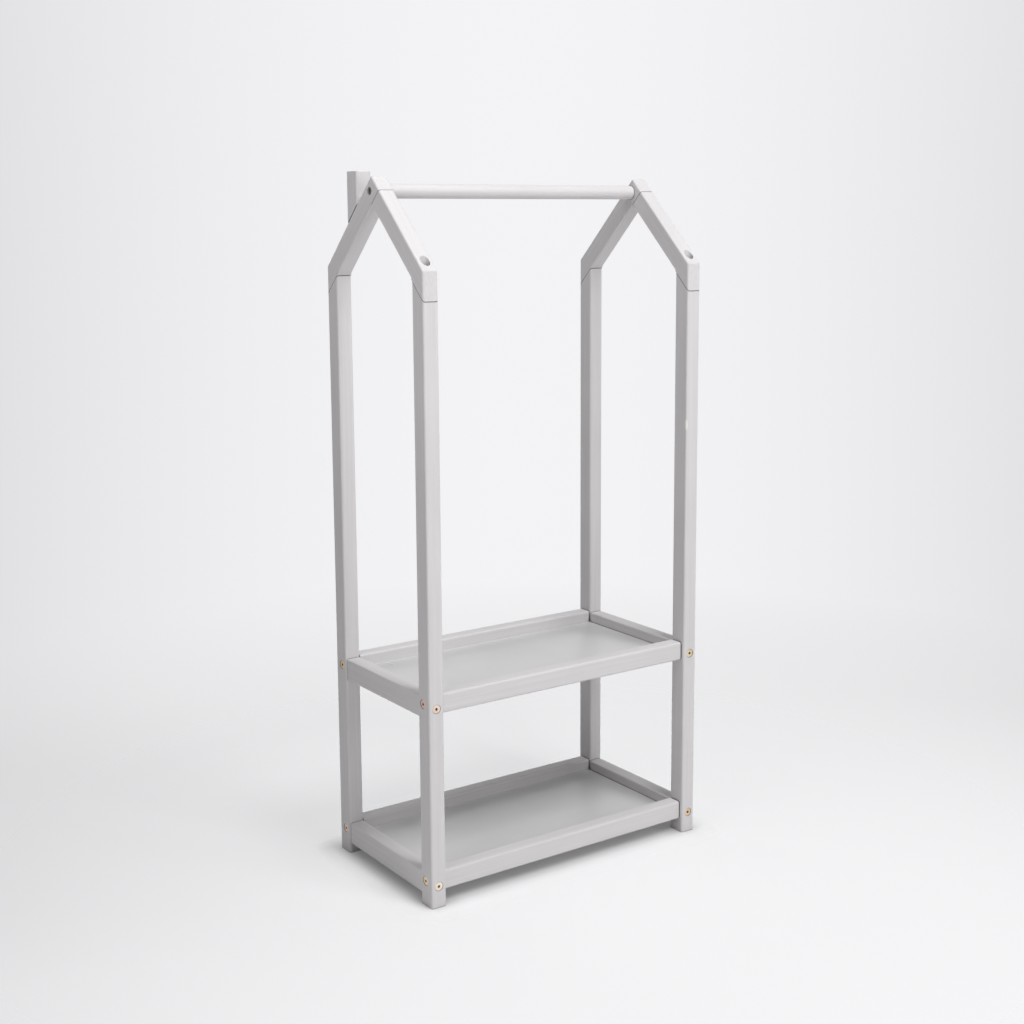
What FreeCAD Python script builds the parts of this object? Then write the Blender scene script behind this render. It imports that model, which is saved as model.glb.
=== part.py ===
import FreeCAD, Part
import os
import re
import Sketcher

# Kids' clothing rack: two house-shaped end frames of painted bars, joined by a round
# hanging rail at the ridge and by two tray shelves, with a chimney block on one roof.
# Millimetres, +Z up, floor at z = 0, X along the hanging rail, front towards -Y.

SIZES = {
    # Whole rack, over the outer faces of the bars
    "rack_length": 515,
    "rack_depth": 283,
    "eave_height": 945,
    "roof_rise": 135,
    # Bars of the end frames: width along X, depth in the plane of the frame
    "bar_width": 25.4,
    "bar_depth": 31,
    "edge_round": 3.5,
    "side_rail_round": 2,
    "corner_ease": 0.3,
    "end_ease": 0.7,
    # Tray shelves: height of the long rails' tops, and the rails' sections
    "upper_tray_height": 327.5,
    "lower_tray_height": 53.2,
    "long_rail_thickness": 24,
    "long_rail_height": 30.5,
    "long_rail_inset": 6,
    "side_rail_height": 34.3,
    "side_rail_drop": 3,
    "side_rail_inset": 2,
    # Shelf panel, let into grooves in the four rails
    "panel_thickness": 6,
    "panel_drop": 19.5,
    "groove_depth": 6,
    "panel_side_play": 0.5,
    "panel_top_play": 0.6,
    # Hanging rail, below the ridge and a little behind it
    "rail_diameter": 22,
    "rail_drop": 23,
    "rail_setback": 4.5,
    # Chimney block, a piece of the same bar held by two dowels
    "chimney_rise": 6.8,
    "chimney_back": 74,
    "dowel_diameter": 8,
    "dowel_length": 30,
    "dowel_chamfer": 1,
    "dowel_spacing": 16,
    # Countersunk screws that hold the trays' rails
    "head_diameter": 13,
    "head_rim": 0.8,
    "head_sink": 0.6,
    "head_play": 0.6,
    "screw_diameter": 5,
    "tray_screw_length": 50,
    "long_screw_setback": 18,
    "long_screw_drop": 14.6,
    "side_screw_drop": 20,
    # Cap screws, sunk in the end frames
    "cap_diameter": 10,
    "cap_height": 5,
    "frame_screw_length": 60,
    "counterbore_diameter": 12,
    "eave_bore_diameter": 14.5,
    "eave_screw_setback": 14,
    "eave_cap_sink": 14,
    "ridge_screw_setback": 10.5,
    "ridge_cap_sink": 2,
    "rail_cap_sink": 4,
    # Hexagon sockets, and the room round and below a screw
    "tray_socket_across": 4,
    "cap_socket_across": 5,
    "socket_depth": 2.6,
    "hole_play": 0.15,
    "hole_end_room": 1,
    "cut_overrun": 10,
}

# Lengths that follow from the sizes above
WORKED_OUT = {
    "roof_run": "rack_depth / 2",
    "ridge_height": "eave_height + roof_rise",
    "roof_rake": "sqrt(roof_run^2 + roof_rise^2)",
    "roof_drop": "bar_depth * roof_rake / roof_run",
    "roof_per_run": "roof_rise / roof_run",
    "post_top": "eave_height + bar_depth * roof_per_run",
    "butt_back": "bar_depth * roof_rake / (2 * roof_rise)",
    "butt_height": "ridge_height - roof_drop / 2",
    "inner_length": "rack_length - 2 * bar_width",
    "inner_depth": "rack_depth - 2 * bar_depth",
    "bar_middle": "bar_width / 2",
    "eave_screw_top": "eave_height + eave_screw_setback * roof_per_run",
    "side_rail_width": "bar_width - side_rail_inset",
    "side_panel_drop": "panel_drop - side_rail_drop",
    "chimney_middle": "chimney_back - bar_depth / 2",
    "screw_hole_radius": "screw_diameter / 2 + hole_play",
    "head_hole_radius": "head_diameter / 2 + hole_play",
    "dowel_hole_radius": "dowel_diameter / 2 + hole_play",
    "head_cone": "(head_diameter - screw_diameter) / 2",
}

# Which way is inwards: along X for the two end frames, along Y for their front and rear
SIDES = {"left": 1, "right": -1}
FACES = {"front": 1, "rear": -1}
TRAYS = ("upper", "lower")
ALONG_X = FreeCAD.Vector(1, 0, 0)
ALONG_Y = FreeCAD.Vector(0, 1, 0)
UP = FreeCAD.Vector(0, 0, 1)
PARALLEL_SHARE = 0.999
NEAR_ZERO_SHARE = 1e-9
CUT_END_SHARE = 0.1
UNDERSIDE_SHARE = 0.1
CLEAR_OF_END_SHARE = 0.9

doc = FreeCAD.newDocument("kids_clothing_rack")
sheet = doc.addObject("Spreadsheet::Sheet", "sizes")
for row, (alias, size) in enumerate(SIZES.items(), start=1):
    sheet.set(f"A{row}", alias)
    sheet.set(f"B{row}", str(size))
    sheet.setAlias(f"B{row}", alias)
doc.recompute()
pieces = []


# Expressions: plain words become cells of the sheet

def formula(text):
    words = "|".join(WORKED_OUT)
    while re.search(rf"\b({words})\b", text):
        text = re.sub(rf"\b({words})\b", lambda found: f"({WORKED_OUT[found[0]]})", text)
    return re.sub(rf"\b({'|'.join(SIZES)})\b", r"sizes.\1", text)


def value(text):
    found = sheet.evalExpression(formula(text))
    return float(getattr(found, "Value", found))


def bind(thing, prop, text):
    thing.setExpression(prop, formula(text))


def bind_place(thing, prop, at):
    for axis, text in zip("xyz", at):
        bind(thing, f"{prop}.{axis}", text)


# Sketches and features that the pieces share

def piece(label, at):
    body = doc.addObject("PartDesign::Body", label)
    body.Label = label
    bind_place(body, "Placement.Base", at)
    pieces.append(body)
    return body


def new_sketch(body, role):
    drawing = body.newObject("Sketcher::SketchObject", "outline")
    support = next(plane for plane in body.Origin.OriginFeatures if plane.Role == role)
    drawing.AttachmentSupport = [(support, "")]
    drawing.MapMode = "FlatFace"
    return drawing


def hold_point(drawing, line, kind, text):
    """Hold a line's first point at a signed distance from the sketch's origin."""
    size = value(text)
    other_axis = -2 if kind == "DistanceX" else -1
    if abs(size) < NEAR_ZERO_SHARE:
        drawing.addConstraint(Sketcher.Constraint("PointOnObject", line, 1, other_axis))
    elif size > 0:
        held = drawing.addConstraint(Sketcher.Constraint(kind, -1, 1, line, 1, size))
        bind(drawing, f"Constraints[{held}]", text)
    else:
        held = drawing.addConstraint(Sketcher.Constraint(kind, line, 1, -1, 1, -size))
        bind(drawing, f"Constraints[{held}]", f"-({text})")


def straight_outline(drawing, corners):
    points = [FreeCAD.Vector(value(across), value(up), 0) for across, up in corners]
    following = points[1:] + points[:1]
    for start, end in zip(points, following):
        drawing.addGeometry(Part.LineSegment(start, end), False)
    for line in range(len(points)):
        after = (line + 1) % len(points)
        drawing.addConstraint(Sketcher.Constraint("Coincident", line, 2, after, 1))
    for line, (across, up) in enumerate(corners):
        hold_point(drawing, line, "DistanceX", across)
        hold_point(drawing, line, "DistanceY", up)


def add_pad(body, drawing, length, backwards):
    pad = body.newObject("PartDesign::Pad", "bar")
    pad.Profile = drawing
    pad.Reversed = backwards
    bind(pad, "Length", length)
    doc.recompute()


def add_rounding(body, radius, wanted):
    base = body.Tip
    names = [f"Edge{n}" for n, edge in enumerate(base.Shape.Edges, start=1) if wanted(edge)]
    rounding = body.newObject("PartDesign::Fillet", "rounding")
    rounding.Base = (base, names)
    bind(rounding, "Radius", radius)
    doc.recompute()


def check_cut(body, cut, before):
    doc.recompute()
    if not cut.Shape.Volume < before:
        raise RuntimeError(f"{body.Label}: {cut.Name} cuts nothing")


def drill(body, at, out, steps, turn=None):
    """Cut a round stepped hole: its mouth is at a point, out points away from the wood, and
    steps are (radius, level) pairs from the mouth inwards, with levels below zero inside."""
    before = body.Tip.Shape.Volume
    drawing = new_sketch(body, "XY_Plane")
    turned = FreeCAD.Rotation(ALONG_X, value(turn)) if turn else FreeCAD.Rotation(ALONG_Y, out)
    drawing.AttachmentOffset = FreeCAD.Placement(FreeCAD.Vector(), turned)
    bind_place(drawing, "AttachmentOffset.Base", at)
    if turn:
        bind(drawing, "AttachmentOffset.Rotation.Angle", turn)
    mouth, end = steps[0][1], steps[-1][1]
    straight_outline(drawing, [("0", mouth), *steps, ("0", end)])
    hole = body.newObject("PartDesign::Groove", "hole")
    hole.Profile = drawing
    hole.ReferenceAxis = (drawing, ["V_Axis"])
    check_cut(body, hole, before)


def plain_hole(depth, radius="screw_hole_radius"):
    return [(radius, "cut_overrun"), (radius, f"-({depth})")]


def counterbored_hole(seat, depth, bore="counterbore_diameter"):
    wide = [(f"{bore} / 2", "cut_overrun"), (f"{bore} / 2", f"-({seat})")]
    return wide + [("screw_hole_radius", f"-({seat})"), ("screw_hole_radius", f"-({depth})")]


def countersunk_hole(depth):
    rim = "head_sink + head_rim"
    mouth = "head_diameter / 2 + head_play"
    wide = [(mouth, "cut_overrun"), (mouth, f"-({rim})"), ("head_hole_radius", f"-({rim})")]
    narrow = [("screw_hole_radius", f"-({rim} + head_cone)"), ("screw_hole_radius", f"-({depth})")]
    return wide + narrow


def is_along(edge, axis):
    if not isinstance(edge.Curve, (Part.Line, Part.LineSegment)):
        return False
    return abs(edge.tangentAt(edge.FirstParameter).dot(axis)) > PARALLEL_SHARE


def rims_facing(body, axis, least_share):
    """Edges round the flat faces that look along an axis, closer than a share of it."""
    flats = [face for face in body.Tip.Shape.Faces if isinstance(face.Surface, Part.Plane)]
    ends = [face for face in flats if abs(face.normalAt(0, 0).dot(axis)) > least_share]
    return [edge for face in ends for edge in face.Edges]


def is_one_of(edge, others):
    return any(edge.isSame(other) for other in others)


def round_all(body, axis):
    """Round a bar all over: the edges along the way it was drawn, then the two flat outlines."""
    add_rounding(body, "edge_round + corner_ease", lambda edge: is_along(edge, axis))
    rims = rims_facing(body, axis, PARALLEL_SHARE)
    add_rounding(body, "edge_round", lambda edge: is_one_of(edge, rims))


def round_sides(body, axis, radius):
    """Round a bar's long edges, and only ease the edges of its cut ends."""
    add_rounding(body, radius, lambda edge: is_along(edge, axis))
    rims = rims_facing(body, axis, CUT_END_SHARE)
    add_rounding(body, "end_ease", lambda edge: is_one_of(edge, rims))


# End frames

def make_post(side, face):
    inward_x, inward_y = SIDES[side], FACES[face]
    corner = (f"{-inward_x} * rack_length / 2", f"{-inward_y} * rack_depth / 2", "0")
    body = piece(f"{side}_{face}_post", corner)
    depth = f"{inward_y} * bar_depth"
    top = [(depth, "post_top - roof_drop"), ("0", "eave_height - roof_drop")]
    drawing = new_sketch(body, "YZ_Plane")
    straight_outline(drawing, [("0", "0"), (depth, "0"), *top])
    add_pad(body, drawing, "bar_width", inward_x < 0)
    round_sides(body, UP, "edge_round")
    middle = f"{inward_x} * bar_middle"
    for tray in TRAYS:
        into_long = ("0", f"{inward_y} * long_screw_setback", f"{tray}_tray_height - long_screw_drop")
        into_side = (middle, "0", f"{tray}_tray_height - side_screw_drop")
        drill(body, into_long, ALONG_X * -inward_x, countersunk_hole("bar_width + cut_overrun"))
        drill(body, into_side, ALONG_Y * -inward_y, countersunk_hole("bar_depth + cut_overrun"))
    mouth = (middle, f"{inward_y} * eave_screw_setback", "eave_screw_top - roof_drop")
    reach = "frame_screw_length + eave_cap_sink + cap_height - roof_drop + hole_end_room"
    drill(body, mouth, UP, plain_hole(reach))


def height_share(edge):
    """How high an edge's middle lies in a rafter: 0 on its underside, 1 on its top."""
    middle = edge.CenterOfMass
    underside = value("eave_height - roof_drop") + abs(middle.y) * value("roof_per_run")
    return (middle.z - underside) / value("roof_drop")


def shape_rafter(body, face, backwards):
    """Saw a rafter and round it. Its underside stays sharp where it lies on another bar."""
    inward_y = FACES[face]
    slope = FreeCAD.Vector(0, inward_y * value("roof_run"), value("roof_rise")).normalize()
    post = [(f"{inward_y} * bar_depth", "post_top - roof_drop"), (f"{inward_y} * bar_depth", "post_top")]
    foot = [("0", "eave_height"), ("0", "eave_height - roof_drop")]
    # The rear rafter runs through to the ridge, and the front one butts under it
    below_ridge = (f"{inward_y} * roof_run", "ridge_height - roof_drop")
    if face == "rear":
        ridge = ("-roof_run", "ridge_height")
        stretches = [post + [ridge, below_ridge], post[::-1] + foot[::-1]]
        stretches.append([below_ridge, ridge, ("-(roof_run + butt_back)", "butt_height")])
        free_end = value("roof_run + butt_back")
    else:
        stretches = [post + [("roof_run - butt_back", "butt_height"), below_ridge], post[::-1] + foot[::-1]]
        free_end = value("roof_run - butt_back") * CLEAR_OF_END_SHARE

    def is_underside(edge):
        return is_along(edge, slope) and height_share(edge) < UNDERSIDE_SHARE

    def is_open(edge):
        return height_share(edge) > UNDERSIDE_SHARE and abs(edge.CenterOfMass.y) < free_end

    for number, outline in enumerate(stretches):
        drawing = new_sketch(body, "YZ_Plane")
        straight_outline(drawing, outline)
        add_pad(body, drawing, "bar_width", backwards)
        if number == 0:
            add_rounding(body, "edge_round", is_underside)
    add_rounding(body, "edge_round + corner_ease", lambda edge: is_along(edge, ALONG_X) and is_open(edge))
    rims = rims_facing(body, ALONG_X, PARALLEL_SHARE)
    add_rounding(body, "edge_round", lambda edge: is_one_of(edge, rims) and is_open(edge))
    if face == "front":
        butt = rims_facing(body, FreeCAD.Vector(0, slope.z, slope.y), PARALLEL_SHARE)
        add_rounding(body, "end_ease", lambda edge: is_one_of(edge, butt))


def make_rafter(side, face):
    inward_x, inward_y = SIDES[side], FACES[face]
    corner = (f"{-inward_x} * rack_length / 2", f"{-inward_y} * rack_depth / 2", "0")
    body = piece(f"{side}_{face}_rafter", corner)
    middle = f"{inward_x} * bar_middle"
    shape_rafter(body, face, inward_x < 0)
    eave_mouth = (middle, f"{inward_y} * eave_screw_setback", "eave_screw_top")
    through = "roof_drop + cut_overrun"
    bored = counterbored_hole("eave_cap_sink + cap_height", through, "eave_bore_diameter")
    drill(body, eave_mouth, UP, bored)
    along = "ridge_screw_setback * roof_run / roof_rake"
    down = "ridge_screw_setback * roof_rise / roof_rake"
    square_to_rear = "atan(roof_run / roof_rise)"
    if face == "front":
        butt_y = f"roof_run + {along} - bar_depth * roof_rise / roof_rake"
        butt_z = f"ridge_height - {down} - bar_depth * roof_run / roof_rake"
        reach = "frame_screw_length + ridge_cap_sink + cap_height - bar_depth + hole_end_room"
        drill(body, (middle, butt_y, butt_z), None, plain_hole(reach), square_to_rear)
        return
    ridge_mouth = (middle, f"{along} - roof_run", f"ridge_height - {down}")
    seat = "ridge_cap_sink + cap_height"
    drill(body, ridge_mouth, None, counterbored_hole(seat, "bar_depth + cut_overrun"), square_to_rear)
    rail_mouth = ("0", "rail_setback - roof_run", "ridge_height - rail_drop")
    seat = "rail_cap_sink + cap_height"
    drill(body, rail_mouth, ALONG_X * -inward_x, counterbored_hole(seat, "bar_width + cut_overrun"))
    if side == "left":
        for back, seat in dowel_places():
            drill(body, (middle, f"{back} - roof_run", seat), UP, dowel_hole())


def dowel_places():
    """Where the chimney's dowels cross its seat: distance behind the ridge, and height."""
    backs = [f"(chimney_middle + {sign} * dowel_spacing / 2)" for sign in FACES.values()]
    return [(back, f"ridge_height - {back} * roof_per_run") for back in backs]


def dowel_hole():
    return plain_hole("dowel_length / 2 + hole_end_room", "dowel_hole_radius")


def make_chimney():
    body = piece("chimney_block", ("-rack_length / 2", "0", "0"))
    front = "chimney_back - bar_depth"
    top = "ridge_height + chimney_rise"
    foot = [(y, f"ridge_height - ({y}) * roof_per_run") for y in (front, "chimney_back")]
    drawing = new_sketch(body, "YZ_Plane")
    straight_outline(drawing, foot + [("chimney_back", top), (front, top)])
    add_pad(body, drawing, "bar_width", False)
    round_sides(body, UP, "edge_round")
    for back, seat in dowel_places():
        drill(body, ("bar_middle", back, seat), -UP, dowel_hole())


def make_hanging_rail():
    body = piece("hanging_rail", ("-inner_length / 2", "rail_setback", "ridge_height - rail_drop"))
    drawing = new_sketch(body, "YZ_Plane")
    drawing.addGeometry(Part.Circle(FreeCAD.Vector(), UP, value("rail_diameter / 2")), False)
    drawing.addConstraint(Sketcher.Constraint("Coincident", 0, 3, -1, 1))
    held = drawing.addConstraint(Sketcher.Constraint("Diameter", 0, value("rail_diameter")))
    bind(drawing, f"Constraints[{held}]", "rail_diameter")
    add_pad(body, drawing, "inner_length", False)
    add_rounding(body, "end_ease", lambda edge: isinstance(edge.Curve, Part.Circle))
    reach = "frame_screw_length + rail_cap_sink + cap_height - bar_width + hole_end_room"
    drill(body, ("0", "0", "0"), -ALONG_X, plain_hole(reach))
    drill(body, ("inner_length", "0", "0"), ALONG_X, plain_hole(reach))


# Tray shelves

def cut_groove(body, role, across, deep, panel_top, backwards):
    """Plough the panel's groove along the inner face of a rail, deep being its inner face."""
    before = body.Tip.Shape.Volume
    floor = f"{panel_top} - panel_thickness"
    roof = f"{panel_top} + panel_top_play"
    bottom = f"{across} * ({deep} - groove_depth)"
    mouth = f"{across} * ({deep} + cut_overrun)"
    drawing = new_sketch(body, role)
    straight_outline(drawing, [(bottom, floor), (mouth, floor), (mouth, roof), (bottom, roof)])
    groove = body.newObject("PartDesign::Pocket", "groove")
    groove.Profile = drawing
    groove.Type = "ThroughAll"
    groove.Reversed = backwards
    check_cut(body, groove, before)


def make_long_rail(tray, face):
    inward_y = FACES[face]
    from_middle = f"{-inward_y} * (rack_depth / 2 - long_rail_inset)"
    under = f"{tray}_tray_height - long_rail_height"
    body = piece(f"{tray}_{face}_rail", ("-inner_length / 2", from_middle, under))
    thick, top = f"{inward_y} * long_rail_thickness", "long_rail_height"
    drawing = new_sketch(body, "YZ_Plane")
    straight_outline(drawing, [("0", "0"), (thick, "0"), (thick, top), ("0", top)])
    add_pad(body, drawing, "inner_length", False)
    round_all(body, ALONG_X)
    cut_groove(body, "YZ_Plane", inward_y, "long_rail_thickness", "long_rail_height - panel_drop", True)
    screw_y = f"{inward_y} * (long_screw_setback - long_rail_inset)"
    screw_z = "long_rail_height - long_screw_drop"
    reach = plain_hole("tray_screw_length + head_sink - bar_width + hole_end_room")
    drill(body, ("0", screw_y, screw_z), -ALONG_X, reach)
    drill(body, ("inner_length", screw_y, screw_z), ALONG_X, reach)


def make_side_rail(tray, side):
    inward_x = SIDES[side]
    from_middle = f"{-inward_x} * (rack_length / 2 - side_rail_inset)"
    under = f"{tray}_tray_height - side_rail_drop - side_rail_height"
    body = piece(f"{tray}_{side}_side_rail", (from_middle, "-inner_depth / 2", under))
    wide, top = f"{inward_x} * side_rail_width", "side_rail_height"
    drawing = new_sketch(body, "XZ_Plane")
    straight_outline(drawing, [("0", "0"), (wide, "0"), (wide, top), ("0", top)])
    add_pad(body, drawing, "inner_depth", True)
    round_sides(body, ALONG_Y, "side_rail_round")
    cut_groove(body, "XZ_Plane", inward_x, "side_rail_width", "side_rail_height - side_panel_drop", False)
    screw_x = f"{inward_x} * (bar_middle - side_rail_inset)"
    screw_z = "side_rail_height + side_rail_drop - side_screw_drop"
    reach = plain_hole("tray_screw_length + head_sink - bar_depth + hole_end_room")
    drill(body, (screw_x, "0", screw_z), -ALONG_Y, reach)
    drill(body, (screw_x, "inner_depth", screw_z), ALONG_Y, reach)


def make_panel(tray):
    """Shelf panel with its corners cut out round the posts and its edges in the rails' grooves."""
    body = piece(f"{tray}_shelf_panel", ("0", "0", f"{tray}_tray_height - panel_drop - panel_thickness"))
    long_edge = "inner_length / 2 + groove_depth - panel_side_play"
    wide_edge = "rack_depth / 2 - long_rail_inset - long_rail_thickness + groove_depth - panel_side_play"
    post_x = "inner_length / 2 - panel_side_play"
    post_y = "inner_depth / 2 - panel_side_play"
    quarter = [(long_edge, post_y), (post_x, post_y), (post_x, wide_edge)]
    corners = []
    for sign_x, sign_y in ((1, 1), (-1, 1), (-1, -1), (1, -1)):
        turn = [(f"{sign_x} * ({x})", f"{sign_y} * ({y})") for x, y in quarter]
        corners += turn if sign_x == sign_y else turn[::-1]
    drawing = new_sketch(body, "XY_Plane")
    straight_outline(drawing, corners)
    add_pad(body, drawing, "panel_thickness", False)


# Screws and dowels: one of each kind, repeated at its places

def turned(name, profile):
    """Round piece along Z, turned from half its outline."""
    body = doc.addObject("PartDesign::Body", name)
    drawing = new_sketch(body, "XZ_Plane")
    straight_outline(drawing, profile)
    shank = body.newObject("PartDesign::Revolution", "shank")
    shank.Profile = drawing
    shank.ReferenceAxis = (drawing, ["V_Axis"])
    doc.recompute()
    return body


def cut_socket(body, level, across_flats):
    """Cut a hexagon socket in a screw's head."""
    before = body.Tip.Shape.Volume
    flat, corner, half_side = (f"{across_flats} / {share}" for share in ("2", "sqrt(3)", "sqrt(12)"))
    hexagon = [(corner, "0"), (half_side, flat), (f"-{half_side}", flat)]
    hexagon += [(f"-{across}", f"-{up}" if up != "0" else up) for across, up in hexagon[:2]]
    hexagon += [(half_side, f"-{flat}")]
    drawing = new_sketch(body, "XY_Plane")
    bind(drawing, "AttachmentOffset.Base.z", level)
    straight_outline(drawing, hexagon)
    socket = body.newObject("PartDesign::Pocket", "socket")
    socket.Profile = drawing
    bind(socket, "Length", "socket_depth")
    check_cut(body, socket, before)


def place_copies(label, original, places):
    """Group of separate copies: each place is a point, the way the head faces, and its slope."""
    copies = []
    for number, (at, out, turn) in enumerate(places, start=1):
        copy = doc.addObject("App::Link", f"{label}_{number}")
        copy.LinkedObject = original
        turned = FreeCAD.Rotation(ALONG_X, value(turn)) if turn else FreeCAD.Rotation(UP, out)
        copy.Placement = FreeCAD.Placement(FreeCAD.Vector(), turned)
        bind_place(copy, "Placement.Base", at)
        if turn:
            bind(copy, "Placement.Rotation.Angle", turn)
        copies.append(copy)
    group = doc.addObject("Part::Compound", label)
    group.Label = label
    group.Links = copies
    pieces.append(group)


def make_tray_screws():
    radius, tip = "screw_diameter / 2", "screw_diameter / 2"
    below_cone = "-(head_rim + head_cone)"
    screw = turned("tray_screw", [
        ("0", "0"), ("head_diameter / 2", "0"), ("head_diameter / 2", "-head_rim"),
        (radius, below_cone), (radius, f"{tip} - tray_screw_length"), ("0", "-tray_screw_length"),
    ])
    cut_socket(screw, "0", "tray_socket_across")
    for tray in TRAYS:
        places = []
        for inward_x in SIDES.values():
            for inward_y in FACES.values():
                outer_x = f"{-inward_x} * (rack_length / 2 - head_sink)"
                outer_y = f"{-inward_y} * (rack_depth / 2 - head_sink)"
                long_y = f"{-inward_y} * (rack_depth / 2 - long_screw_setback)"
                side_x = f"{-inward_x} * (rack_length / 2 - bar_middle)"
                long_at = (outer_x, long_y, f"{tray}_tray_height - long_screw_drop")
                side_at = (side_x, outer_y, f"{tray}_tray_height - side_screw_drop")
                places.append((long_at, ALONG_X * -inward_x, None))
                places.append((side_at, ALONG_Y * -inward_y, None))
        place_copies(f"{tray}_tray_screws", screw, places)


def make_frame_screws():
    radius, tip = "screw_diameter / 2", "screw_diameter / 2"
    screw = turned("frame_screw", [
        ("0", "cap_height"), ("cap_diameter / 2", "cap_height"), ("cap_diameter / 2", "0"),
        (radius, "0"), (radius, f"{tip} - frame_screw_length"), ("0", "-frame_screw_length"),
    ])
    cut_socket(screw, "cap_height", "cap_socket_across")
    eaves, ridges, rails = [], [], []
    deep = "(ridge_cap_sink + cap_height)"
    ridge_y = f"(ridge_screw_setback * roof_run - {deep} * roof_rise) / roof_rake"
    ridge_z = f"ridge_height - (ridge_screw_setback * roof_rise + {deep} * roof_run) / roof_rake"
    for inward_x in SIDES.values():
        middle = f"{-inward_x} * (rack_length / 2 - bar_middle)"
        for inward_y in FACES.values():
            eave_y = f"{-inward_y} * (rack_depth / 2 - eave_screw_setback)"
            eave_z = "eave_screw_top - eave_cap_sink - cap_height"
            eaves.append(((middle, eave_y, eave_z), UP, None))
        ridges.append(((middle, ridge_y, ridge_z), None, "-atan(roof_rise / roof_run)"))
        seat_x = f"{-inward_x} * (rack_length / 2 - rail_cap_sink - cap_height)"
        rail_at = (seat_x, "rail_setback", "ridge_height - rail_drop")
        rails.append((rail_at, ALONG_X * -inward_x, None))
    place_copies("eave_screws", screw, eaves)
    place_copies("ridge_screws", screw, ridges)
    place_copies("hanging_rail_screws", screw, rails)


def make_dowels():
    radius, half = "dowel_diameter / 2", "dowel_length / 2"
    upper = [("0", half), (f"{radius} - dowel_chamfer", half), (radius, f"{half} - dowel_chamfer")]
    lower = [(across, f"-({up})") for across, up in reversed(upper)]
    dowel = turned("dowel", upper + lower)
    places = [(("bar_middle - rack_length / 2", back, seat), UP, None) for back, seat in dowel_places()]
    place_copies("chimney_dowels", dowel, places)


for side_name in SIDES:
    for face_name in FACES:
        make_post(side_name, face_name)
        make_rafter(side_name, face_name)
make_chimney()
make_hanging_rail()
for tray_name in TRAYS:
    for face_name in FACES:
        make_long_rail(tray_name, face_name)
    for side_name in SIDES:
        make_side_rail(tray_name, side_name)
    make_panel(tray_name)
make_tray_screws()
make_frame_screws()
make_dowels()
doc.recompute()

for thing in doc.Objects:
    if "Invalid" in thing.State or "Error" in thing.State:
        raise RuntimeError(f"{thing.Label} did not build: {thing.State}")
for part in pieces:
    if part.Shape.isNull() or not part.Shape.isValid():
        raise RuntimeError(f"{part.Label} has no valid shape")
os.makedirs("parts", exist_ok=True)
for part in pieces:
    part.Shape.exportStep(f"parts/{part.Label}.step")
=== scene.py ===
import math

import bmesh
import bpy
from mathutils import Matrix, Vector


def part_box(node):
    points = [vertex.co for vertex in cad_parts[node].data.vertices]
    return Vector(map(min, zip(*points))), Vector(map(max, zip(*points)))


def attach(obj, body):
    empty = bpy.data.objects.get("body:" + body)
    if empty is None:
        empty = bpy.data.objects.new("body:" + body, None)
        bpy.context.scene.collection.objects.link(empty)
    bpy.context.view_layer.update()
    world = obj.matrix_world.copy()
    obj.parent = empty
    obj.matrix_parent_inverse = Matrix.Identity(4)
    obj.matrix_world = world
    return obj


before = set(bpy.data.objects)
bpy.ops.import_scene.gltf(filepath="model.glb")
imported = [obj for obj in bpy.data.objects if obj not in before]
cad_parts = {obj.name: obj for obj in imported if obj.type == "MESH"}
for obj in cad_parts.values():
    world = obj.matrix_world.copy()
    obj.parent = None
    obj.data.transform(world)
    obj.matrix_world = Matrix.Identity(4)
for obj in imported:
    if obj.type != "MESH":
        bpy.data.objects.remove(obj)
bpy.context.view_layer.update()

bl_info = {
    "name": "House clothing rack",
    "version": (1, 0, 0),
    "blender": (4, 5, 0),
    "location": "3D View > Sidebar > Rack",
    "description": "Finishes a children's clothing rack and sets it on a studio stage",
    "category": "Object",
}

MM = 0.001
SIDES = ("left", "right")
FACES = ("front", "rear")
TRAYS = ("upper", "lower")
DEEP_SCREWS = ("eave_screws", "ridge_screws")

# Soft lights: place, width of the square, and power in watts
LIGHTS = {
    "key_light": ((0.28, -1.9, 3.0), 1.25, 62.0),
    "top_light": ((0.0, -0.1, 3.3), 1.1, 14.0),
    "low_right_light": ((1.0, -2.0, 0.7), 0.9, 3.4),
    "low_front_light": ((0.2, -1.6, 1.2), 0.8, 5.4),
    "left_light": ((-0.9, -0.3, 1.0), 0.6, 1.3),
    "low_left_light": ((-0.9, -0.6, 0.4), 0.6, 0.65),
    "high_left_light": ((-1.0, -0.2, 1.9), 0.9, 4.6),
    "back_light": ((-0.1, 2.4, 0.9), 1.4, 16.0),
    "right_light": ((2.4, -0.3, 0.8), 1.4, 8.0),
}
LIGHT_AIM = (0.0, 0.0, 0.6)
SENSOR_WIDTH = 36.0
FLOOR_SEGMENTS = 96
BEAD_STEPS = 6
# Inputs of a colour mix: share, first and second colour; and its result
MIX_INPUTS = (0, 6, 7)
MIX_RESULT = 2
# Scale per metre and detail of the patterns, and the part of their values that is used
CLOUD = (7.3, 3.0)
RIPPLE = (900.0, 2.0)
SCUFFS = (1400.0, 3.0)
PATTERN_RANGE = (0.3, 0.7)
# Grain: scale and detail, and its stretch per metre, along X for a turned bar and along Z for a dowel
GRAIN = (1.0, 4.0)
BAR_GRAIN = (5.0, 260.0, 260.0)
DOWEL_GRAIN = (900.0, 900.0, 40.0)
# Paint: parts of cloud and grain in its cover, change of roughness, and strength and tone of the lighter
# edges, which are partly thin paint and partly a painted highlight
COVER_SHARES = (0.3, 0.7)
PAINT_DRIFT = 0.05
EDGE_SHARE = 0.5
EDGE_WEAR_AND_HIGHLIGHT_TONE = 1.06
# Plating and bare wood: depth of the relief, roughness and the tone of dark grain
SCUFF_DEPTH = 0.02 * MM
SCUFF_DRIFT = (-0.08, 0.1)
DOWEL_DEPTH = 0.05 * MM
DOWEL_ROUGHNESS = 0.6
DOWEL_DARK = 0.75
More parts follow.
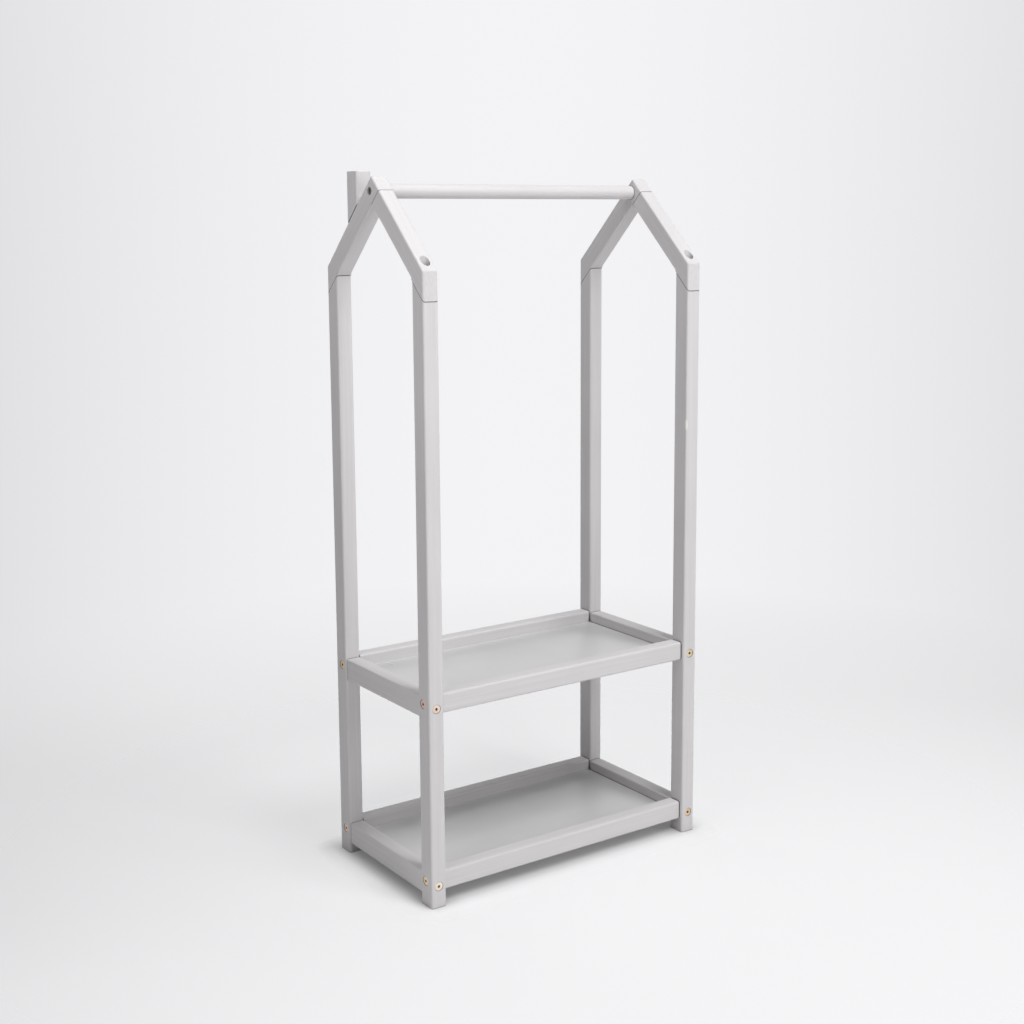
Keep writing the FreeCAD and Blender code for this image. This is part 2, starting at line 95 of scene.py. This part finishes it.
# Masks: rays per point, how far a normal has turned at an edge, and where a soft border ends
EDGE_RAYS = 4
OPEN_RAYS = 8
EDGE_TURN = 0.9
SOFT_BORDER = 0.7
# Share of open surroundings at which the painted shade of a seam, a hole or a recess, or the painted shadow
# on the floor, is darkest, and at which it ends
JOINT_SHADE_OPEN = (0.4, 0.92)
HOLE_SHADE_OPEN = (0.12, 0.5)
RECESS_SHADE_OPEN = (0.25, 0.7)
FLOOR_SHADOW_OPEN = (0.2, 0.9)
# Tint waves of the plating: turn in each direction, radians per metre, and start
GOLD_WAVE = ((-6.0, -39.0, 30.0), 1.3)
SILVER_WAVE = ((59.0, -51.0, 66.0), 5.6)
# Chipped edge of the right front post: its middle and how far it reaches each way
CHIP_PLACE = (0.2320, -0.1410, 0.688)
CHIP_REACH = (3.2 * MM, 4.0 * MM, 10.5 * MM)
# Upward part of a line of sight, where the darkening of the background is least and full
LOW_SIGHT = (-0.45, -0.3)


# Settings that a user would change

class RackPaint(bpy.types.PropertyGroup):
    """Satin paint of the bars and the shelf panels"""

    bar_colour: bpy.props.FloatVectorProperty(
        name="Bar colour", description="Paint on posts, rafters, rails and the chimney",
        subtype="COLOR", min=0, max=1, default=(0.655, 0.637, 0.645))
    panel_colour: bpy.props.FloatVectorProperty(
        name="Panel colour", description="Paint on the shelf panels",
        subtype="COLOR", min=0, max=1, default=(0.595, 0.592, 0.592))
    bar_roughness: bpy.props.FloatProperty(
        name="Bar roughness", description="Mean roughness of the paint on the bars",
        subtype="FACTOR", min=0, max=1, default=0.46)
    panel_roughness: bpy.props.FloatProperty(
        name="Panel roughness", description="Mean roughness of the paint on the panels",
        subtype="FACTOR", min=0, max=1, default=0.32)
    thin_cover: bpy.props.FloatProperty(
        name="Thin cover", description="Brightness of the paint in the grain's darkest streaks",
        min=0, default=0.94)
    full_cover: bpy.props.FloatProperty(
        name="Full cover", description="Brightness of the paint in the grain's lightest streaks",
        min=0, default=1.04)
    grain_depth: bpy.props.FloatProperty(
        name="Grain depth", description="How far the wood's grain shows through the paint",
        unit="LENGTH", min=0, default=0.05 * MM)
    peel_depth: bpy.props.FloatProperty(
        name="Spray texture", description="Depth of the sprayed paint's fine ripple",
        unit="LENGTH", min=0, default=0.02 * MM)
    dowel_colour: bpy.props.FloatVectorProperty(
        name="Dowel colour", description="Bare wood of the hidden dowels",
        subtype="COLOR", min=0, max=1, default=(0.62, 0.46, 0.30))
    gloss: bpy.props.FloatProperty(
        name="Gloss", description="Strength of the paint's reflection", subtype="FACTOR",
        min=0, max=1, default=0.3)
    # Painted shade: the paint darkens in seams and creases, where pieces nearby hide the surface
    joint_shade_reach: bpy.props.FloatProperty(
        name="Joint reach", description="How far the dark of a seam reaches from it",
        unit="LENGTH", min=0, default=1.8 * MM)
    joint_shade_tone: bpy.props.FloatProperty(
        name="Joint tone", description="Share of the paint's brightness that is left in the seams",
        subtype="FACTOR", min=0, max=1, default=0.25)
    # Painted shade deep inside holes
    hole_shade_tone: bpy.props.FloatProperty(
        name="Hole tone", description="Share of the paint's brightness that is left deep in a hole",
        subtype="FACTOR", min=0, max=1, default=0.06)
    hole_shade_reach: bpy.props.FloatProperty(
        name="Hole reach", description="How wide a hole may be for its inside to darken",
        unit="LENGTH", min=0, default=14 * MM)
    # Painted shade: a dark band at the end of a post or front rafter stands in for the shadow in the gap at
    # its joint
    seam_shade_width: bpy.props.FloatProperty(
        name="Seam width", description="Width of the dark seam between a post and its rafter",
        unit="LENGTH", min=0, default=1.3 * MM)
    chip_colour: bpy.props.FloatVectorProperty(
        name="Chip colour", description="Bare spot on the edge of one post",
        subtype="COLOR", min=0, max=1, default=(0.80, 0.79, 0.76))
    bead_radius: bpy.props.FloatProperty(
        name="Bead radius", description="Paint bead between a shelf panel and its rear rail",
        unit="LENGTH", min=0, default=1.2 * MM)
    # Lighter band along the edges: partly thin paint, partly a painted highlight
    edge_wear_and_highlight: bpy.props.FloatProperty(
        name="Edge wear", description="Width of the thinly covered band along the edges",
        unit="LENGTH", min=0, default=1.2 * MM)


class RackPlating(bpy.types.PropertyGroup):
    """Yellow plating of the screws"""

    copper: bpy.props.FloatVectorProperty(
        name="Pink tint", description="Pinkish part of the plating's play of colours",
        subtype="COLOR", min=0, max=1, default=(0.80, 0.56, 0.47))
    gold: bpy.props.FloatVectorProperty(
        name="Gold tint", description="Golden part of the plating's play of colours",
        subtype="COLOR", min=0, max=1, default=(0.76, 0.60, 0.32))
    silver: bpy.props.FloatVectorProperty(
        name="Silver tint", description="Pale spots in the plating",
        subtype="COLOR", min=0, max=1, default=(0.92, 0.86, 0.74))
    # Painted shade: dull dark colour in the sockets and along the rims of the screws
    painted_shade: bpy.props.FloatVectorProperty(
        name="Film", description="Dull dark film in the sockets and along the rims",
        subtype="COLOR", min=0, max=1, default=(0.05, 0.03, 0.02))
    recess_reach: bpy.props.FloatProperty(
        name="Recess reach", description="How wide a recess may be for its inside to darken",
        unit="LENGTH", min=0, default=4 * MM)
    bore_reach: bpy.props.FloatProperty(
        name="Bore reach", description="The same for the screws that lie deep in their bores",
        unit="LENGTH", min=0, default=7 * MM)
    roughness: bpy.props.FloatProperty(
        name="Roughness", description="Mean roughness of the plating",
        subtype="FACTOR", min=0, max=1, default=0.30)


class RackStage(bpy.types.PropertyGroup):
    """Floor, background, light and camera"""

    floor_colour: bpy.props.FloatVectorProperty(
        name="Floor colour", description="Pale studio floor",
        subtype="COLOR", min=0, max=1, default=(0.95, 0.95, 0.96))
    background: bpy.props.FloatVectorProperty(
        name="Background", description="What shows behind the rack",
        subtype="COLOR", min=0, max=1, default=(0.90, 0.90, 0.915))
    floor_radius: bpy.props.FloatProperty(
        name="Floor radius", description="Half the width of the floor",
        unit="LENGTH", default=20.0)
    floor_haze: bpy.props.FloatProperty(
        name="Floor haze", description="Share of the background seen in the floor beside the rack",
        subtype="FACTOR", min=0, max=1, default=0.7)
    contact_haze: bpy.props.FloatProperty(
        name="Contact haze", description="Share of that haze that is left under the rack",
        subtype="FACTOR", min=0, max=1, default=0.2)
    contact_reach: bpy.props.FloatProperty(
        name="Contact reach", description="How far from the rack the haze is back to its full share",
        unit="LENGTH", min=0, default=0.045)
    # Painted shadow on the floor under the rack
    shade_reach: bpy.props.FloatProperty(
        name="Shade reach", description="How near a piece must be to darken the floor under it",
        unit="LENGTH", min=0, default=0.035)
    shade_tone: bpy.props.FloatProperty(
        name="Shade tone", description="Share of the floor's brightness that is left under the rack",
        subtype="FACTOR", min=0, max=1, default=0.35)
    fade_from: bpy.props.FloatProperty(
        name="Fade from", description="Where the floor starts to fade into the background",
        unit="LENGTH", default=0.7)
    fade_to: bpy.props.FloatProperty(
        name="Fade to", description="Where the floor has faded into the background",
        unit="LENGTH", default=1.8)
    vignette: bpy.props.FloatProperty(
        name="Vignette", description="How fast the background darkens towards its sides", default=1.5)
    vignette_limit: bpy.props.FloatProperty(
        name="Vignette limit", description="Most of the background's brightness that is taken away",
        subtype="FACTOR", min=0, max=1, default=0.18)
    low_vignette: bpy.props.FloatProperty(
        name="Low vignette", description="Share of that darkening that is left close to the floor",
        subtype="FACTOR", min=0, max=1, default=0.25)
    low_shift: bpy.props.FloatProperty(
        name="Low shift", description="How far right the background is brightest near the floor",
        default=0.25)
    light_level: bpy.props.FloatProperty(
        name="Light level", description="Strength of all the lights together",
        subtype="FACTOR", min=0, default=1.0)
    camera_place: bpy.props.FloatVectorProperty(
        name="Camera", description="Where the camera stands",
        subtype="TRANSLATION", default=(-1.3667, -1.9649, 1.0196))
    camera_turn: bpy.props.FloatProperty(
        name="Turn", description="Camera's heading, clockwise from +Y",
        subtype="ANGLE", default=math.radians(35.215))
    camera_tilt: bpy.props.FloatProperty(
        name="Tilt", description="Camera's tilt below the horizon",
        subtype="ANGLE", default=math.radians(8.808))
    camera_roll: bpy.props.FloatProperty(
        name="Roll", description="Camera's roll about its line of sight",
        subtype="ANGLE", default=math.radians(-0.269))
    camera_lens: bpy.props.FloatProperty(
        name="Lens", description="Focal length on a 36 mm sensor", default=53.396)
    camera_shift: bpy.props.FloatVectorProperty(
        name="Shift", description="Offset of the lens, as a share of the picture's width",
        size=2, default=(-0.01533, -0.05908))


# Shader nodes

def add_node(tree, kind, inputs=None, **settings):
    """Add a node, set its properties, and give its inputs values or links."""
    node = tree.nodes.new(kind)
    for name, setting in settings.items():
        setattr(node, name, setting)
    for name, given in (inputs or {}).items():
        if isinstance(given, bpy.types.NodeSocket):
            tree.links.new(given, node.inputs[name])
        else:
            node.inputs[name].default_value = given
    return node


def new_material(name):
    material = bpy.data.materials.new(name)
    material.use_nodes = True
    tree = material.node_tree
    tree.nodes.clear()
    return material, tree


def finish_material(tree, surface):
    add_node(tree, "ShaderNodeOutputMaterial", {"Surface": surface})


def mixed(tree, share, first, second):
    """Colour between two colours, by a share that may be a socket."""
    node = add_node(tree, "ShaderNodeMix", data_type="RGBA")
    for index, given in zip(MIX_INPUTS, (share, first, second)):
        if isinstance(given, bpy.types.NodeSocket):
            tree.links.new(given, node.inputs[index])
        else:
            node.inputs[index].default_value = given
    return node.outputs[MIX_RESULT]


def spread(tree, socket, low, high, to_low, to_high):
    inputs = {"Value": socket, "From Min": low, "From Max": high, "To Min": to_low, "To Max": to_high}
    return add_node(tree, "ShaderNodeMapRange", inputs).outputs["Result"]


def worked_out(tree, operation, *terms):
    """Result of one step of arithmetic on numbers, each a value or a socket."""
    return add_node(tree, "ShaderNodeMath", dict(enumerate(terms)), operation=operation).outputs[0]


def measured(tree, operation, *terms):
    """Number that comes from places or directions, such as a length."""
    node = add_node(tree, "ShaderNodeVectorMath", dict(enumerate(terms)), operation=operation)
    return node.outputs["Value"]


def moved(tree, operation, *terms):
    """Place or direction that comes from others."""
    node = add_node(tree, "ShaderNodeVectorMath", dict(enumerate(terms)), operation=operation)
    return node.outputs["Vector"]


def noise(tree, place, scale, detail):
    inputs = {"Vector": place, "Scale": scale, "Detail": detail}
    return add_node(tree, "ShaderNodeTexNoise", inputs).outputs["Fac"]


def opaque(colour, share=1.0):
    return (*(share * part for part in colour), 1.0)


# Finishes

def edge_mask(tree, width):
    """One along the edges and zero on the flats, from how a rounded normal turns away."""
    rounded = add_node(tree, "ShaderNodeBevel", {"Radius": width}, samples=EDGE_RAYS).outputs["Normal"]
    true = add_node(tree, "ShaderNodeNewGeometry").outputs["Normal"]
    aligned = measured(tree, "DOT_PRODUCT", rounded, true)
    return spread(tree, aligned, 1.0, EDGE_TURN, 0.0, 1.0)


def open_mask(tree, reach, shut, clear):
    """One on open faces and zero where pieces within reach hide the surface."""
    hidden = add_node(tree, "ShaderNodeAmbientOcclusion", {"Distance": reach}, samples=OPEN_RAYS)
    return spread(tree, hidden.outputs["AO"], shut, clear, 0.0, 1.0)


def seam_shade_mask(tree, place, seam, width):
    """One in a thin band at the end that a post or a front rafter butts against a rafter with, where
    painted shade stands in for the shadow in the joint's gap.
    """
    slope, level = seam
    parts = add_node(tree, "ShaderNodeSeparateXYZ", {"Vector": place}).outputs
    rise = worked_out(tree, "MULTIPLY", parts["Y"], math.tan(slope))
    climb = worked_out(tree, "ADD", rise, parts["Z"])
    drop = width / math.cos(slope)
    return spread(tree, climb, level - drop, level - SOFT_BORDER * drop, 0.0, 1.0)


def chip_mask(tree, place):
    """One in the chipped edge of the right front post."""
    shrunk = moved(tree, "DIVIDE", moved(tree, "SUBTRACT", place, CHIP_PLACE), CHIP_REACH)
    return spread(tree, measured(tree, "LENGTH", shrunk), 1.0, SOFT_BORDER, 0.0, 1.0)


def satin_paint(name, colour, roughness, grain_turn, paint, seam=None, chipped=False):
    """Sprayed satin paint: faint grain along the bar, a fine ripple, uneven cover, and lighter edges that
    are partly thin paint and partly a painted highlight; painted shade darkens its seams, creases and
    holes.
    """
    material, tree = new_material(name)
    place = add_node(tree, "ShaderNodeTexCoord").outputs["Object"]
    cloud = noise(tree, place, *CLOUD)
    height = worked_out(tree, "MULTIPLY", noise(tree, place, *RIPPLE), paint.peel_depth / MM)
    tone = cloud
    if grain_turn is not None:
        turned = add_node(tree, "ShaderNodeMapping", {"Vector": place, "Rotation": grain_turn})
        stretched = add_node(tree, "ShaderNodeMapping", {
            "Vector": turned.outputs["Vector"], "Scale": BAR_GRAIN})
        grain = noise(tree, stretched.outputs["Vector"], *GRAIN)
        relief = worked_out(tree, "MULTIPLY", grain, paint.grain_depth / MM)
        height = worked_out(tree, "ADD", height, relief)
        shares = zip((cloud, grain), COVER_SHARES)
        tone = worked_out(tree, "ADD", *(worked_out(tree, "MULTIPLY", *pair) for pair in shares))
    cover = spread(tree, tone, *PATTERN_RANGE, 0.0, 1.0)
    base = mixed(tree, cover, opaque(colour, paint.thin_cover), opaque(colour, paint.full_cover))
    # Lighter edges: partly thin paint, partly a painted highlight
    worn_and_highlit = worked_out(tree, "MULTIPLY", edge_mask(tree, paint.edge_wear_and_highlight), EDGE_SHARE)
    base = mixed(tree, worn_and_highlit, base, opaque(colour, EDGE_WEAR_AND_HIGHLIGHT_TONE))
    if chipped:
        base = mixed(tree, chip_mask(tree, place), base, opaque(paint.chip_colour))
    # Painted shade of the gap where a post or front rafter butts against a rafter
    if seam is not None:
        in_seam_shade = seam_shade_mask(tree, place, seam, paint.seam_shade_width)
        base = mixed(tree, in_seam_shade, base, opaque(colour, paint.joint_shade_tone))
    # Painted shade in the seams and creases between pieces
    clear_of_joint_shade = open_mask(tree, paint.joint_shade_reach, *JOINT_SHADE_OPEN)
    base = mixed(tree, clear_of_joint_shade, opaque(colour, paint.joint_shade_tone), base)
    # Painted shade deep in holes
    clear_of_hole_shade = open_mask(tree, paint.hole_shade_reach, *HOLE_SHADE_OPEN)
    base = mixed(tree, clear_of_hole_shade, opaque(colour, paint.hole_shade_tone), base)
    bump = add_node(tree, "ShaderNodeBump", {"Height": height, "Distance": MM, "Strength": 1.0})
    shader = add_node(tree, "ShaderNodeBsdfPrincipled", {
        "Base Color": base,
        "Roughness": spread(tree, cloud, *PATTERN_RANGE, roughness - PAINT_DRIFT, roughness + PAINT_DRIFT),
        "Specular IOR Level": paint.gloss,
        "Normal": bump.outputs["Normal"],
    })
    finish_material(tree, shader.outputs["BSDF"])
    return material


def slow_wave(tree, place, pace, start):
    """Wave from zero to one over the rack, slow enough to tint each screw differently."""
    angle = worked_out(tree, "ADD", measured(tree, "DOT_PRODUCT", place, pace), start)
    return spread(tree, worked_out(tree, "SINE", angle), -1.0, 1.0, 0.0, 1.0)


def plated_steel(name, plating, reach):
    """Yellow plating: its tint drifts from screw to screw, with painted shade, a dull dark colour, in the
    recesses.
    """
    material, tree = new_material(name)
    place = add_node(tree, "ShaderNodeTexCoord").outputs["Object"]
    scuffs = noise(tree, place, *SCUFFS)
    tint = mixed(tree, slow_wave(tree, place, *GOLD_WAVE), opaque(plating.copper), opaque(plating.gold))
    tint = mixed(tree, slow_wave(tree, place, *SILVER_WAVE), tint, opaque(plating.silver))
    # Painted shade in the sockets and recesses of the screws
    clear_of_recess_shade = open_mask(tree, reach, *RECESS_SHADE_OPEN)
    base = mixed(tree, clear_of_recess_shade, opaque(plating.painted_shade), tint)
    bump = add_node(tree, "ShaderNodeBump", {"Height": scuffs, "Distance": SCUFF_DEPTH, "Strength": 1.0})
    smooth, rough = (plating.roughness + drift for drift in SCUFF_DRIFT)
    shader = add_node(tree, "ShaderNodeBsdfPrincipled", {
        "Base Color": base,
        "Metallic": 1.0,
        "Roughness": spread(tree, scuffs, *PATTERN_RANGE, smooth, rough),
        "Normal": bump.outputs["Normal"],
    })
    finish_material(tree, shader.outputs["BSDF"])
    return material


def turned_wood(name, colour):
    """Bare hardwood with fine grain along Z."""
    material, tree = new_material(name)
    place = add_node(tree, "ShaderNodeTexCoord").outputs["Object"]
    stretched = add_node(tree, "ShaderNodeMapping", {"Vector": place, "Scale": DOWEL_GRAIN})
    grain = noise(tree, stretched.outputs["Vector"], *GRAIN)
    pale = spread(tree, grain, *PATTERN_RANGE, 0.0, 1.0)
    base = mixed(tree, pale, opaque(colour, DOWEL_DARK), opaque(colour))
    bump = add_node(tree, "ShaderNodeBump", {"Height": grain, "Distance": DOWEL_DEPTH, "Strength": 1.0})
    shader = add_node(tree, "ShaderNodeBsdfPrincipled", {
        "Base Color": base, "Roughness": DOWEL_ROUGHNESS, "Normal": bump.outputs["Normal"]})
    finish_material(tree, shader.outputs["BSDF"])
    return material


def dress(node, material):
    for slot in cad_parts[node].material_slots:
        slot.material = material


def bar_paint(context, name, grain_turn, seam=None, chipped=False):
    paint = context.scene.rack_paint
    return satin_paint(name, paint.bar_colour, paint.bar_roughness, grain_turn, paint, seam, chipped)


def butt_seam(node, slope):
    """Slope of the end that a piece butts with, and the height it would reach in the rack's middle."""
    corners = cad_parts[node].data.vertices
    return slope, max(corner.co.z + corner.co.y * math.tan(slope) for corner in corners)


def rear_bead(tray, radius, material):
    """Rounded bead of paint along the corner between a shelf panel and its rear rail."""
    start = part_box(f"{tray}_left_side_rail")[1].x
    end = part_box(f"{tray}_right_side_rail")[0].x
    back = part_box(f"{tray}_rear_rail")[0].y
    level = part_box(f"{tray}_shelf_panel")[1].z
    profile = [(back, level)]
    for step in range(BEAD_STEPS + 1):
        turn = 0.5 * math.pi * step / BEAD_STEPS
        profile.append((back - radius * (1 - math.sin(turn)), level + radius * (1 - math.cos(turn))))
    shape = bmesh.new()
    rings = [[shape.verts.new((x, y, z)) for y, z in profile] for x in (start, end)]
    for here in range(len(profile)):
        after = (here + 1) % len(profile)
        shape.faces.new((rings[0][here], rings[0][after], rings[1][after], rings[1][here]))
    for ring in rings:
        shape.faces.new(ring)
    bmesh.ops.recalc_face_normals(shape, faces=shape.faces)
    mesh = bpy.data.meshes.new(f"{tray}_rear_bead")
    shape.to_mesh(mesh)
    shape.free()
    bead = bpy.data.objects.new(f"{tray}_rear_bead", mesh)
    bpy.context.scene.collection.objects.link(bead)
    mesh.materials.append(material)
    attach(bead, "root")


def roof_slope():
    """Angle of a rafter above the level, from the largest face of its top."""
    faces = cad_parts["left_front_rafter"].data.polygons
    top = max((face for face in faces if face.normal.z > 0), key=lambda face: face.area * face.normal.z)
    return math.atan2(-top.normal.y, top.normal.z)


# Operators

class RACK_OT_end_frames(bpy.types.Operator):
    """Paint the posts, the rafters and the chimney block of both end frames"""

    bl_idname = "rack.end_frames"
    bl_label = "End frames"

    def execute(self, context):
        slope = roof_slope()
        standing = (0.0, math.pi / 2, 0.0)
        front_seam = butt_seam("left_front_post", -slope)
        rear_seam = butt_seam("left_rear_post", slope)
        upright = {
            "front": bar_paint(context, "paint_front_post", standing, front_seam, chipped=True),
            "rear": bar_paint(context, "paint_rear_post", standing, rear_seam),
        }
        ridge_seam = butt_seam("left_front_rafter", slope)
        front_grain = (-slope, 0.0, -math.pi / 2)
        rear_grain = (slope, 0.0, -math.pi / 2)
        along = {
            "front": bar_paint(context, "paint_front_slope", front_grain, ridge_seam),
            "rear": bar_paint(context, "paint_rear_slope", rear_grain),
        }
        for side in SIDES:
            for face in FACES:
                dress(f"{side}_{face}_post", upright[face])
                dress(f"{side}_{face}_rafter", along[face])
        dress("chimney_block", bar_paint(context, "paint_chimney", standing))
        return {"FINISHED"}


class RACK_OT_rails(bpy.types.Operator):
    """Paint the hanging rail and the rails of both trays"""

    bl_idname = "rack.rails"
    bl_label = "Rails"

    def execute(self, context):
        lengthwise = bar_paint(context, "paint_lengthwise", (0.0, 0.0, 0.0))
        crosswise = bar_paint(context, "paint_crosswise", (0.0, 0.0, math.pi / 2))
        dress("hanging_rail", lengthwise)
        for tray in TRAYS:
            for face in FACES:
                dress(f"{tray}_{face}_rail", lengthwise)
            for side in SIDES:
                dress(f"{tray}_{side}_side_rail", crosswise)
        return {"FINISHED"}


class RACK_OT_panels(bpy.types.Operator):
    """Paint the shelf panels of both trays"""

    bl_idname = "rack.panels"
    bl_label = "Shelf panels"

    def execute(self, context):
        paint = context.scene.rack_paint
        board = satin_paint("paint_board", paint.panel_colour, paint.panel_roughness, None, paint)
        for tray in TRAYS:
            dress(f"{tray}_shelf_panel", board)
            rear_bead(tray, paint.bead_radius, board)
        return {"FINISHED"}


class RACK_OT_screws(bpy.types.Operator):
    """Plate the screws of the trays and of the end frames, and finish the dowels"""

    bl_idname = "rack.screws"
    bl_label = "Screws"

    def execute(self, context):
        plating = context.scene.rack_plating
        shallow = plated_steel("yellow_plating", plating, plating.recess_reach)
        deep = plated_steel("deep_plating", plating, plating.bore_reach)
        for tray in TRAYS:
            dress(f"{tray}_tray_screws", shallow)
        dress("hanging_rail_screws", shallow)
        for node in DEEP_SCREWS:
            dress(node, deep)
        dress("chimney_dowels", turned_wood("dowel_wood", context.scene.rack_paint.dowel_colour))
        return {"FINISHED"}


# Stage

def beyond(tree, value, half):
    """How far a coordinate lies outside a span about zero."""
    past = worked_out(tree, "SUBTRACT", worked_out(tree, "ABSOLUTE", value), half)
    return worked_out(tree, "MAXIMUM", past, 0.0)


def make_floor(stage):
    """Matt floor that fades into the background away from the rack, with a painted shadow that darkens it
    close under the rack.
    """
    material, tree = new_material("studio_floor")
    place = add_node(tree, "ShaderNodeTexCoord").outputs["Object"]
    away = measured(tree, "LENGTH", place)
    far_haze = spread(tree, away, stage.fade_from, stage.fade_to, stage.floor_haze, 1.0)
    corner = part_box("right_rear_post")[1]
    halves = {"X": corner.x, "Y": corner.y}
    parts = add_node(tree, "ShaderNodeSeparateXYZ", {"Vector": place}).outputs
    outside = {axis: beyond(tree, parts[axis], half) for axis, half in halves.items()}
    offset = add_node(tree, "ShaderNodeCombineXYZ", outside).outputs["Vector"]
    clear = measured(tree, "LENGTH", offset)
    near_haze = spread(tree, clear, 0.0, stage.contact_reach, stage.contact_haze, 1.0)
    seen = add_node(tree, "ShaderNodeLightPath").outputs["Is Camera Ray"]
    share = worked_out(tree, "MULTIPLY", worked_out(tree, "MULTIPLY", far_haze, near_haze), seen)
    # Painted shadow: the floor darkens where pieces of the rack are near it
    beside = open_mask(tree, stage.shade_reach, *FLOOR_SHADOW_OPEN)
    tone = mixed(tree, beside, opaque(stage.floor_colour, stage.shade_tone), opaque(stage.floor_colour))
    matt = add_node(tree, "ShaderNodeBsdfDiffuse", {"Color": tone})
    through = add_node(tree, "ShaderNodeBsdfTransparent")
    blended = add_node(tree, "ShaderNodeMixShader", {
        0: share, 1: matt.outputs["BSDF"], 2: through.outputs["BSDF"]})
    finish_material(tree, blended.outputs["Shader"])
    mesh = bpy.data.meshes.new("studio_floor")
    disc = bmesh.new()
    bmesh.ops.create_circle(disc, cap_ends=True, segments=FLOOR_SEGMENTS, radius=stage.floor_radius)
    disc.to_mesh(mesh)
    disc.free()
    floor = bpy.data.objects.new("studio_floor", mesh)
    bpy.context.scene.collection.objects.link(floor)
    mesh.materials.append(material)


def make_world(stage):
    """Plain background, a little darker towards its sides, seen directly and in reflections."""
    world = bpy.data.worlds.new("studio")
    world.use_nodes = True
    tree = world.node_tree
    tree.nodes.clear()
    sight = add_node(tree, "ShaderNodeTexCoord").outputs["Generated"]
    level = (math.cos(stage.camera_turn), -math.sin(stage.camera_turn), 0.0)
    height = add_node(tree, "ShaderNodeSeparateXYZ", {"Vector": sight}).outputs["Z"]
    near_floor = spread(tree, height, *LOW_SIGHT, stage.low_vignette, 1.0)
    shift = spread(tree, height, *LOW_SIGHT, stage.low_shift, 0.0)
    aside = worked_out(tree, "SUBTRACT", measured(tree, "DOT_PRODUCT", sight, level), shift)
    squared = worked_out(tree, "MULTIPLY", aside, aside)
    darker = worked_out(tree, "MULTIPLY", worked_out(tree, "MULTIPLY", squared, near_floor), stage.vignette)
    limit = stage.vignette_limit
    share = spread(tree, darker, 0.0, limit, 0.0, limit)
    colour = mixed(tree, share, opaque(stage.background), opaque((0.0, 0.0, 0.0)))
    rays = add_node(tree, "ShaderNodeLightPath").outputs
    seen = rays["Is Camera Ray"]
    for kind in ("Is Glossy Ray", "Is Transmission Ray"):
        seen = worked_out(tree, "MAXIMUM", seen, rays[kind])
    shown = add_node(tree, "ShaderNodeBackground", {"Color": colour, "Strength": seen})
    add_node(tree, "ShaderNodeOutputWorld", {"Surface": shown.outputs["Background"]})
    bpy.context.scene.world = world


def soft_light(name, place, width, power):
    """Square lamp that faces the rack's middle and stays out of the picture."""
    lamp = bpy.data.lights.new(name, "AREA")
    lamp.shape = "SQUARE"
    lamp.size = width
    lamp.energy = power
    holder = bpy.data.objects.new(name, lamp)
    holder.visible_camera = False
    holder.location = place
    holder.rotation_euler = (Vector(LIGHT_AIM) - Vector(place)).to_track_quat("-Z", "Y").to_euler()
    bpy.context.scene.collection.objects.link(holder)


def make_camera(stage):
    """Camera from its heading, tilt and roll."""
    turn, tilt, roll = stage.camera_turn, stage.camera_tilt, stage.camera_roll
    ahead = Vector((math.sin(turn) * math.cos(tilt), math.cos(turn) * math.cos(tilt), -math.sin(tilt)))
    level = Vector((math.cos(turn), -math.sin(turn), 0.0))
    above = level.cross(ahead)
    right = level * math.cos(roll) + above * math.sin(roll)
    up = above * math.cos(roll) - level * math.sin(roll)
    lens = bpy.data.cameras.new("camera")
    lens.sensor_width = SENSOR_WIDTH
    lens.lens = stage.camera_lens
    lens.shift_x, lens.shift_y = stage.camera_shift
    camera = bpy.data.objects.new("camera", lens)
    axes = Matrix((right, up, -ahead)).transposed()
    camera.matrix_world = Matrix.Translation(stage.camera_place) @ axes.to_4x4()
    bpy.context.scene.collection.objects.link(camera)
    bpy.context.scene.camera = camera


class RACK_OT_stage(bpy.types.Operator):
    """Set the floor, the background, the lights and the camera"""

    bl_idname = "rack.stage"
    bl_label = "Stage"

    def execute(self, context):
        stage = context.scene.rack_stage
        context.scene.view_settings.view_transform = "Standard"
        make_floor(stage)
        make_world(stage)
        for name, (place, width, power) in LIGHTS.items():
            soft_light(name, place, width, power * stage.light_level)
        make_camera(stage)
        return {"FINISHED"}


class RACK_PT_panel(bpy.types.Panel):
    """Lists the rack's settings and steps"""

    bl_idname = "RACK_PT_panel"
    bl_label = "House clothing rack"
    bl_space_type = "VIEW_3D"
    bl_region_type = "UI"
    bl_category = "Rack"

    def draw(self, context):
        column = self.layout.column()
        for step in STEPS:
            column.operator(step.bl_idname)
        for group in SETTINGS:
            settings = getattr(context.scene, group)
            for name in settings.__annotations__:
                column.prop(settings, name)


STEPS = (RACK_OT_end_frames, RACK_OT_rails, RACK_OT_panels, RACK_OT_screws, RACK_OT_stage)
SETTINGS = {"rack_paint": RackPaint, "rack_plating": RackPlating, "rack_stage": RackStage}


def register():
    for kind in (*SETTINGS.values(), *STEPS, RACK_PT_panel):
        bpy.utils.register_class(kind)
    for name, group in SETTINGS.items():
        setattr(bpy.types.Scene, name, bpy.props.PointerProperty(type=group))


def unregister():
    for name in SETTINGS:
        delattr(bpy.types.Scene, name)
    for kind in reversed((*SETTINGS.values(), *STEPS, RACK_PT_panel)):
        bpy.utils.unregister_class(kind)


def main():
    register()
    bpy.ops.rack.end_frames()
    bpy.ops.rack.rails()
    bpy.ops.rack.panels()
    bpy.ops.rack.screws()
    bpy.ops.rack.stage()


if __name__ == "__main__":
    main()
